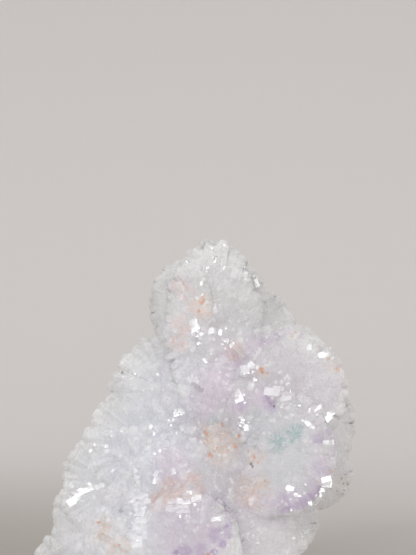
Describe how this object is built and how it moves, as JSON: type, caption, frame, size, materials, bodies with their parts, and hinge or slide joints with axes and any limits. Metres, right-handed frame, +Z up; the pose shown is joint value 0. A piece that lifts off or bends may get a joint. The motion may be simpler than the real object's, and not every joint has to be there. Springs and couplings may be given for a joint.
{
  "type": "amethyst flower",
  "caption": "Free-standing cluster of pale quartz crystals grown into each other as overlapping radial fans, tall and shallow, flat where it was cut to stand.",
  "frame": {"origin": "on the flat cut that the cluster stands on, under its lower half", "axes": "+Z up from the flat cut to the tip, -Y the way the broad front with the large fans faces, +X to the right as seen from the front"},
  "size_m": [0.1192, 0.0609, 0.1356],
  "materials": {
    "quartz": "translucent glassy crystal faces, milky inside, lilac at some rims"
  },
  "bodies": {
    "root": {"amethyst_flower": "quartz"}
  },
  "joints": []
}
